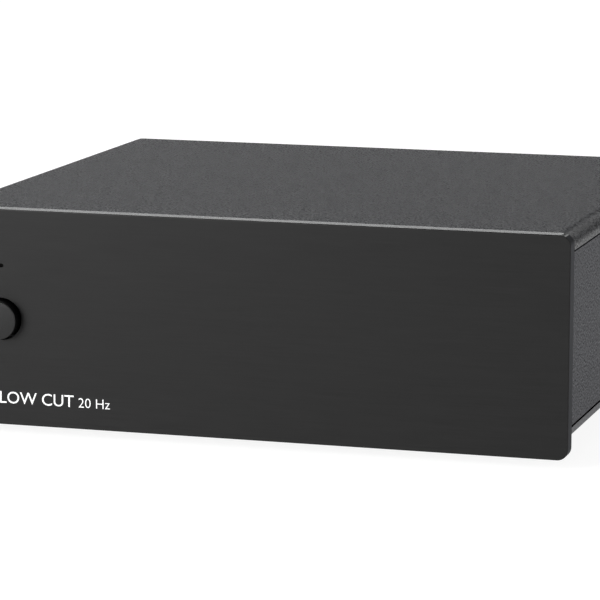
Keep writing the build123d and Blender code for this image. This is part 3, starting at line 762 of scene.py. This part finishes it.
def axis_mask(tree, kind, axis, limit):
    """1 where the position or the normal of a point goes further along an axis than the limit,
    to either side of the middle."""
    vector = add_node(tree, "ShaderNodeTexCoord").outputs[kind]
    along = add_node(tree, "ShaderNodeSeparateXYZ", {0: vector}).outputs[axis]
    size = add_node(tree, "ShaderNodeMath", {0: along}, operation="ABSOLUTE").outputs[0]
    return add_node(
        tree, "ShaderNodeMath", {0: size, 1: limit}, operation="GREATER_THAN"
    ).outputs[0]


def left_plain(material, masks):
    """Paints shade: where all the masks are 1, the finish gives way to a dull black that stands in
    for shade.
    """
    tree = material.node_tree
    output = tree.nodes["Material Output"].inputs["Surface"]
    # Painted shade: a dull black put in place of the finish.
    plain = add_node(tree, "ShaderNodeBsdfDiffuse", {"Color": linear("#0A0A0A")}).outputs[0]
    share = masks[0]
    for mask in masks[1:]:
        share = add_node(
            tree, "ShaderNodeMath", {0: share, 1: mask}, operation="MULTIPLY"
        ).outputs[0]
    surface = add_node(
        tree, "ShaderNodeMixShader", {0: share, 1: output.links[0].from_socket, 2: plain}
    ).outputs[0]
    tree.links.new(surface, output)


# Painted shade: the tongue's faces at the bottom of the grooves, behind the skin, are painted dull
# black to stand in for the shade in the grooves.
skin_thickness = 0.8 * mm
skin_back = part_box("right_side_wall")[1].x - skin_thickness
tree = wall_finish_with_groove_shade.node_tree
in_skin = axis_mask(tree, "Object", "X", skin_back)
shaded_behind_skin = add_node(
    tree, "ShaderNodeMath", {0: 1.0, 1: in_skin}, operation="SUBTRACT"
).outputs[0]
left_plain(wall_finish_with_groove_shade, [shaded_behind_skin, axis_mask(tree, "Normal", "X", faces_along)])
dress(wall_finish_with_groove_shade, "left_side_wall", "right_side_wall")


# ---- Bottom plate and rear panel ----------------------------------------------------------
# Steel sheets, cut and powder coated like the cover. Where a face of either looks up and lies
# higher than the bottom plate's broken edge, it is painted dull black: painted shade for the groove
# under the walls.

# The grain is 0.15 mm wide like the cover's, and it is drawn 0.38 mm wide to show.
base_finish_with_groove_shade = grained(
    "textured_powder_coat_base_painted_groove_shade", ("#222327", "#3B3C42"), grain_size=0.38 * mm,
    roughness=(0.35, 0.5), lift=0.08 * mm, gloss=(0.6, 1.0),
)
base_break = 0.13 * mm
upper_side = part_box("bottom_plate")[1].z - base_break
tree = base_finish_with_groove_shade.node_tree
shaded_on_top = axis_mask(tree, "Object", "Z", upper_side)
# Painted shade: faces looking up from above the bottom plate's break are painted dull black.
left_plain(base_finish_with_groove_shade, [shaded_on_top, axis_mask(tree, "Normal", "Z", faces_along)])
dress(base_finish_with_groove_shade, "bottom_plate", "rear_panel")


# ---- Screws -------------------------------------------------------------------------------
# Turned steel cap screws, a hexagon pressed in each head, with a black oxide skin. Four hold the
# rear panel to the walls and four hold the bottom plate to the pillars.

head_height = 1.5 * mm
head_break = 0.25 * mm
hexagon_half_width = 0.75 * mm
hexagon_depth = 0.8 * mm
hexagon_lead_in = 0.06 * mm
drill_point = 0.3 * mm
shank_radius = 1.2 * mm
shank_lead_in = 0.3 * mm
screw_round = 0.05 * mm
screw_columns = 72

# Black oxide on steel: a dark satin metal skin.
black_oxide = grained(
    "black_oxide_steel", ("#1F1F20", "#2D2D2E"), grain_size=0.2 * mm,
    roughness=(0.3, 0.42), lift=0.005 * mm, metallic=1.0,
)


def cap_screws(name, node, facing):
    """Screws where a node of the frame has them: one in each corner of the node's box. A
    hexagon's radius at an angle is its half width over the cosine of the angle from the middle
    of the nearest flat."""
    low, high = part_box(node)
    angle = np.linspace(0, tau, screw_columns, endpoint=False)
    hexagon = hexagon_half_width / np.cos(np.mod(angle, pi / 3) - pi / 6)
    out = np.array(FACING[facing][2])
    axis = int(np.argmax(np.abs(out)))
    tip, top = (low[axis], high[axis]) if out[axis] > 0 else (-high[axis], -low[axis])
    flat = [i for i in range(3) if i != axis]
    outside = eased(
        [
            (screw_head_radius - head_break, top),
            (screw_head_radius, top - head_break),
            (screw_head_radius, top - head_height),
            (shank_radius, top - head_height),
            (shank_radius, tip + shank_lead_in),
            (shank_radius - shank_lead_in, tip),
            (0, tip),
        ],
        screw_round,
    )
    rows = [
        (0, top - hexagon_depth - drill_point),
        (hexagon, top - hexagon_depth),
        (hexagon, top - hexagon_lead_in),
        (hexagon + hexagon_lead_in, top),
        *outside,
    ]
    seats = []
    for first in (low[flat[0]] + screw_head_radius, high[flat[0]] - screw_head_radius):
        for second in (low[flat[1]] + screw_head_radius, high[flat[1]] - screw_head_radius):
            seat = [0, 0, 0]
            seat[flat[0]], seat[flat[1]] = first, second
            seats.append(seat)
    screws = new_piece(
        name, [turned(rows, screw_columns)], black_oxide, seats=seats, facing=facing
    )
    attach(screws, "casing")
    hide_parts(node)


cap_screws("rear_cap_screws", "rear_screws", "back")
cap_screws("bottom_cap_screws", "bottom_screws", "down")
dress(black_oxide, "front_screws", "plate_screws")


# ---- Feet ---------------------------------------------------------------------------------
# Round feet moulded in rubber and bonded under the bottom plate. Their treads are bevelled and
# dished, so that each foot stands on a ring.

foot_bevel = 0.6 * mm
tread_width = 1.2 * mm
tread_dish = 0.35 * mm
foot_round = 0.15 * mm
foot_columns = 96

# Matt black rubber with a dusty bloom.
foot_rubber = grained(
    "moulded_rubber", ("#161616", "#222222"), grain_size=0.5 * mm,
    roughness=(0.75, 0.9), lift=0.01 * mm, ior=1.52,
)
for corner in ("front_left", "front_right", "rear_left", "rear_right"):
    foot_low, foot_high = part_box(f"{corner}_foot")
    foot_radius = (foot_high.x - foot_low.x) / 2
    tread_rim = foot_radius - foot_bevel
    foot_profile = eased(
        [
            (0, -tread_dish),
            (tread_rim - tread_width - tread_dish, -tread_dish),
            (tread_rim - tread_width, 0),
            (tread_rim, 0),
            (foot_radius, -foot_bevel),
            (foot_radius, -foot_high.z),
            (0, -foot_high.z),
        ],
        foot_round,
    )
    foot_centre = (foot_low + foot_high) / 2
    foot = new_piece(
        f"{corner}_foot_moulded",
        [turned(foot_profile, foot_columns)],
        foot_rubber,
        seats=[(foot_centre.x, foot_centre.y, 0)],
        facing="down",
    )
    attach(foot, "casing")
    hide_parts(f"{corner}_foot")


# ---- Slide switch banks -------------------------------------------------------------------
# Moulded housings with eight white levers each, numbered in white ink, in the bottom plate's
# windows. A lever is on at the end of its travel.

lever_count = 8
numeral_height = 1.5 * mm
digit_share = 0.7  # a digit's height, against its type's
numeral_gap = 0.55 * mm  # from a bank's edge to the print

# Glass-filled plastic with a fine spark-eroded texture, and plain white plastic.
bank_moulding = grained(
    "moulded_black_plastic", ("#1B1C1F", "#232427"), grain_size=0.15 * mm,
    roughness=(0.45, 0.6), lift=0.008 * mm, ior=1.54,
)
lever_moulding = grained(
    "moulded_white_plastic", ("#DEDDD8", "#E6E5E0"), grain_size=0.3 * mm,
    roughness=(0.35, 0.45), lift=0.004 * mm, ior=1.54,
)
for side in ("left", "right"):
    bank_low, bank_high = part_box(f"{side}_switch_bank")
    levers = [f"{side}_lever_{way}" for way in range(1, lever_count + 1)]
    dress(bank_moulding, f"{side}_switch_bank")
    dress(lever_moulding, *levers)
    marks = {}
    for way, lever in enumerate(levers, start=1):
        lever_low, lever_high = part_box(lever)
        base = bank_low.y + numeral_gap + digit_share * numeral_height
        marks[str(way)] = ((lever_low.x + lever_high.x) / 2, base)
    marks["ON"] = ((bank_low.x + bank_high.x) / 2, bank_high.y - numeral_gap)
    for words, (x, y) in marks.items():
        numeral = printed(
            f"{side}_bank_print_{words}", words, numeral_height, ink_thickness,
            (x, y, bank_low.z - ink_thickness / 2), "down", white_ink, align="CENTER",
        )
        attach(numeral, "casing")


# ---- Phono sockets ------------------------------------------------------------------------
# Brass shells, turned and gold plated, each round a moulded insulator and a gold contact. White
# is the left channel and red the right.

shell_break = 0.12 * mm
flange_height = 1.4 * mm
barrel_radius = 4.15 * mm
barrel_lead_in = 0.4 * mm
barrel_round = 0.2 * mm
shell_bore = 3.45 * mm
shell_shank_radius = 3.9 * mm
insulator_bore = 1.98 * mm
insulator_round = 0.2 * mm
socket_columns = 96

# Gold plate over brass, and the insulators' glossy plastics.
gold_plate = grained(
    "gold_plate", ("#E6B34F", "#EDBE5E"), grain_size=0.2 * mm,
    roughness=(0.12, 0.2), lift=0.003 * mm, metallic=1.0,
)
channel_colours = {
    "left": ("white", ("#E2E1DC", "#E9E8E3")),
    "right": ("red", ("#A01414", "#AA1A19")),
}
insulator_plastics = {
    channel: grained(
        f"moulded_{colour}_insulator", colours, grain_size=0.5 * mm,
        roughness=(0.25, 0.35), lift=0.004 * mm, ior=1.54,
    )
    for channel, (colour, colours) in channel_colours.items()
}
panel_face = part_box("rear_panel")[1].y
for pair in ("input", "output"):
    for channel, plastic in insulator_plastics.items():
        socket = f"{pair}_{channel}"
        shell_low, shell_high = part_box(f"{socket}_shell")
        shell_centre = (shell_low + shell_high) / 2
        shell_radius = (shell_high.x - shell_low.x) / 2
        flange_out = panel_face + flange_height
        shell_profile = eased(
            [
                (shell_bore, shell_low.y),
                (shell_shank_radius, shell_low.y),
                (shell_shank_radius, panel_face),
                (shell_radius, panel_face),
                (shell_radius, flange_out),
                (barrel_radius, flange_out),
                (barrel_radius, shell_high.y - barrel_lead_in),
                (barrel_radius - barrel_lead_in, shell_high.y),
                (shell_bore, shell_high.y),
                (shell_bore, shell_low.y),
            ],
            [0, 0, 0, shell_break, shell_break, 0, barrel_round, shell_break, shell_break, 0],
        )
        shell = new_piece(
            f"{socket}_shell_turned",
            [turned(shell_profile, socket_columns)],
            gold_plate,
            seats=[(shell_centre.x, 0, shell_centre.z)],
            facing="back",
        )
        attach(shell, "casing")
        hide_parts(f"{socket}_shell")

        insulator_low, insulator_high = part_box(f"{socket}_insulator")
        insulator_radius = (insulator_high.x - insulator_low.x) / 2
        insulator_profile = eased(
            [
                (insulator_bore, insulator_low.y),
                (insulator_radius, insulator_low.y),
                (insulator_radius, insulator_high.y),
                (insulator_bore, insulator_high.y),
                (insulator_bore, insulator_low.y),
            ],
            [0, 0, insulator_round, insulator_round, 0],
        )
        insulator = new_piece(
            f"{socket}_insulator_moulded",
            [turned(insulator_profile)],
            plastic,
            seats=[(shell_centre.x, 0, shell_centre.z)],
            facing="back",
        )
        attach(insulator, "casing")
        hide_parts(f"{socket}_insulator")
dress(gold_plate, "socket_contacts", "socket_nuts")


# ---- Ground terminal ----------------------------------------------------------------------
# Brass stud with a rolled thread, a stamped washer and a knurled thumb nut, all nickel plated.
# The nut turns on the thread and the washer rides with it.

thread_pitch = 0.7 * mm
thread_depth = 0.35 * mm
thread_rows = 10  # to a turn
stud_head_radius = 3.2 * mm
stud_head_height = 1.2 * mm
stud_radius = 1.95 * mm
stud_lead_in = 0.4 * mm
collar_radius = 3.7 * mm
collar_height = 0.9 * mm
collar_break = 0.15 * mm
thumb_radius = 4.6 * mm
thumb_break = 0.25 * mm
nut_bore = 2.03 * mm
nut_chamfer = 0.2 * mm
groove_count = 30
groove_depth = 0.318 * mm
groove_columns = 12
washer_break = 0.15 * mm
washer_columns = 96

# Nickel plate over brass: a bright, faintly yellow metal.
nickel_plate = grained(
    "nickel_plate", ("#B4ADA3", "#C0B9AF"), grain_size=0.2 * mm,
    roughness=(0.15, 0.25), lift=0.003 * mm, metallic=1.0,
)

stud_low, stud_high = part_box("ground_post")
stud_centre = (stud_low + stud_high) / 2
washer_low, washer_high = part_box("ground_washer")
nut_low, nut_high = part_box("ground_nut")
terminal_seat = [(stud_centre.x, 0, stud_centre.z)]
stud_columns = 48
stud_angle = np.linspace(0, tau, stud_columns, endpoint=False)
thread_start = washer_high.y
thread_turns = (stud_high.y - thread_start) / thread_pitch
# A rolled thread's radius falls and rises evenly with the height, once to a pitch, and the
# angle shifts it along. A cone at the tip limits it.
thread = []
for height in np.linspace(thread_start, stud_high.y, int(thread_turns * thread_rows) + 1):
    phase = np.mod((height - thread_start) / thread_pitch - stud_angle / tau, 1)
    valley = thread_depth * np.abs(2 * phase - 1)
    cone = stud_radius - stud_lead_in + (stud_high.y - height)
    thread.append((np.minimum(stud_radius - valley, cone), height))
stud = new_piece(
    "ground_stud_threaded",
    [
        turned(
            [
                (0, stud_low.y),
                (stud_head_radius, stud_low.y),
                (stud_head_radius, stud_low.y + stud_head_height),
                (stud_radius, stud_low.y + stud_head_height),
                (stud_radius, thread_start - thread_pitch),
                *thread,
                (0, stud_high.y),
            ],
            stud_columns,
        )
    ],
    nickel_plate,
    seats=terminal_seat,
    facing="back",
)
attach(stud, "casing")
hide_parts("ground_post")

washer_radius = (washer_high.x - washer_low.x) / 2
washer = new_piece(
    "ground_washer_stamped",
    [
        turned(
            eased(
                [
                    (nut_bore, washer_low.y),
                    (washer_radius, washer_low.y),
                    (washer_radius, washer_high.y),
                    (nut_bore, washer_high.y),
                    (nut_bore, washer_low.y),
                ],
                [0, washer_break, washer_break, 0, 0],
            ),
            washer_columns,
        )
    ],
    nickel_plate,
    seats=terminal_seat,
    facing="back",
)
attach(washer, "ground_washer")
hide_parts("ground_washer")

# The knurl is V grooves with flanks at 45 degrees: at an arc's length from the middle of the
# nearest groove, the radius is less by the groove's depth minus that length.
knurl_columns = groove_count * groove_columns
knurl_angle = np.linspace(0, tau, knurl_columns, endpoint=False)
from_groove = np.mod(knurl_angle * groove_count / tau + 0.5, 1) - 0.5
arc = np.abs(from_groove) * tau * thumb_radius / groove_count
knurl = thumb_radius - np.clip(groove_depth - arc, 0, None)
thumb_start = nut_low.y + collar_height
thumb_nut = new_piece(
    "ground_nut_knurled",
    [
        turned(
            [
                (nut_bore, nut_low.y + nut_chamfer),
                (nut_bore + nut_chamfer, nut_low.y),
                (collar_radius - collar_break, nut_low.y),
                (collar_radius, nut_low.y + collar_break),
                (collar_radius, thumb_start),
                (np.minimum(knurl, thumb_radius - thumb_break), thumb_start),
                (knurl, thumb_start + thumb_break),
                (knurl, nut_high.y - thumb_break),
                (np.minimum(knurl, thumb_radius - thumb_break), nut_high.y),
                (nut_bore + nut_chamfer, nut_high.y),
                (nut_bore, nut_high.y - nut_chamfer),
                (nut_bore, nut_low.y + nut_chamfer),
            ],
            knurl_columns,
        )
    ],
    nickel_plate,
    seats=terminal_seat,
    facing="back",
    smooth=25,
)
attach(thumb_nut, "ground_nut")
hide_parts("ground_nut")


# ---- Power jack ---------------------------------------------------------------------------
# Moulded black plastic round a nickel plated pin, soldered to the board. Its round nose stands
# in the rear panel's hole.

jack_moulding = grained(
    "moulded_jack_plastic", ("#141415", "#1C1C1D"), grain_size=0.2 * mm,
    roughness=(0.4, 0.55), lift=0.006 * mm, ior=1.54,
)
dress(jack_moulding, "power_jack_body")
dress(nickel_plate, "power_jack_pin")


# ---- Light pipe and diode -----------------------------------------------------------------
# Moulding that leads the diode's light to the window, of acrylic smoked so dark that it shows
# black while the diode is off.

flow_size = 0.5 * mm
smoked_acrylic, tree = new_material("moulded_smoked_acrylic")
place = add_node(tree, "ShaderNodeTexCoord").outputs["Object"]
flow = add_node(
    tree, "ShaderNodeTexNoise", {"Vector": place, "Scale": 1 / flow_size, "Detail": 1.0}
).outputs["Fac"]
flow_rough = add_node(
    tree, "ShaderNodeMapRange", {"Value": flow, "To Min": 0.4, "To Max": 0.5}
).outputs[0]
acrylic = add_node(
    tree,
    "ShaderNodeBsdfPrincipled",
    {
        "Base Color": linear("#050505"),
        "Roughness": flow_rough,
        "IOR": 1.49,
        "Specular IOR Level": 0.02,
    },
)
add_node(tree, "ShaderNodeOutputMaterial", {"Surface": acrylic.outputs[0]})
dress(smoked_acrylic, "light_pipe", "status_diode")


# ---- Return spring ------------------------------------------------------------------------
# Round steel wire coiled about the plunger of the push switch, nickel plated. It stands on the
# switch's face and carries the button.

spring_wire = 0.36 * mm
spring_turns = 3
coil_steps = 36  # to a turn
wire_steps = 12

spring_low, spring_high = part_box("switch_spring")
spring_centre = (spring_low + spring_high) / 2
coil_radius = (spring_high.x - spring_low.x - spring_wire) / 2
# A helix: the height rises evenly with the turn. A ring of the wire lies in the plane through
# the spring's axis, and the ring at either end has no radius, which closes the wire.
turn = np.linspace(0, spring_turns * tau, spring_turns * coil_steps + 1)
turn = np.pad(turn, 1, mode="edge")[:, None]
wire_radius = np.pad(np.full((len(turn) - 2, 1), spring_wire / 2), ((1, 1), (0, 0)))
wire_angle = np.linspace(0, tau, wire_steps, endpoint=False)
rise = (spring_high.y - spring_low.y - spring_wire) * turn / turn[-1]
reach = coil_radius + wire_radius * np.cos(wire_angle)
height = spring_low.y + spring_wire / 2 + rise + wire_radius * np.sin(wire_angle)
spring = new_piece(
    "switch_spring_coiled",
    [np.stack([reach * np.cos(turn), reach * np.sin(turn), height], -1)],
    nickel_plate,
    seats=[(spring_centre.x, 0, spring_centre.z)],
    facing="back",
)
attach(spring, "casing")
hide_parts("switch_spring")
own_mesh(spring)


# ---- Pieces inside ------------------------------------------------------------------------
# The sheet behind the front plate, the cover's pillars, the push switch and the circuit board
# with its components. They show only with the casing open.

# Zinc plated steel sheet, and the board's green varnish.
zinc_plate = grained(
    "zinc_plated_steel", ("#8C9196", "#A4A9AE"), grain_size=1.5 * mm,
    roughness=(0.3, 0.45), lift=0.005 * mm, metallic=1.0,
)
dress(zinc_plate, "sub_front_panel")
dress(nickel_plate, "cover_pillars")
dress(lever_moulding, "switch_plunger")
dress(bank_moulding, "switch_body", "amplifier_chips")
solder_mask = grained(
    "green_solder_mask", ("#0E3A1E", "#124524"), grain_size=2 * mm,
    roughness=(0.25, 0.35), lift=0.01 * mm, ior=1.5,
)
dress(solder_mask, "circuit_board")

# Cans in sleeves of shrunk plastic film, and boxes cast full of resin.
shrunk_sleeve = grained(
    "shrunk_capacitor_sleeve", ("#12131C", "#181A26"), grain_size=1 * mm,
    roughness=(0.25, 0.35), lift=0.005 * mm, ior=1.53,
)
dress(shrunk_sleeve, "electrolytic_capacitors")
cast_box = grained(
    "cast_red_resin_box", ("#7A1512", "#861A16"), grain_size=1 * mm,
    roughness=(0.3, 0.4), lift=0.005 * mm, ior=1.55,
)
dress(cast_box, "film_capacitors")
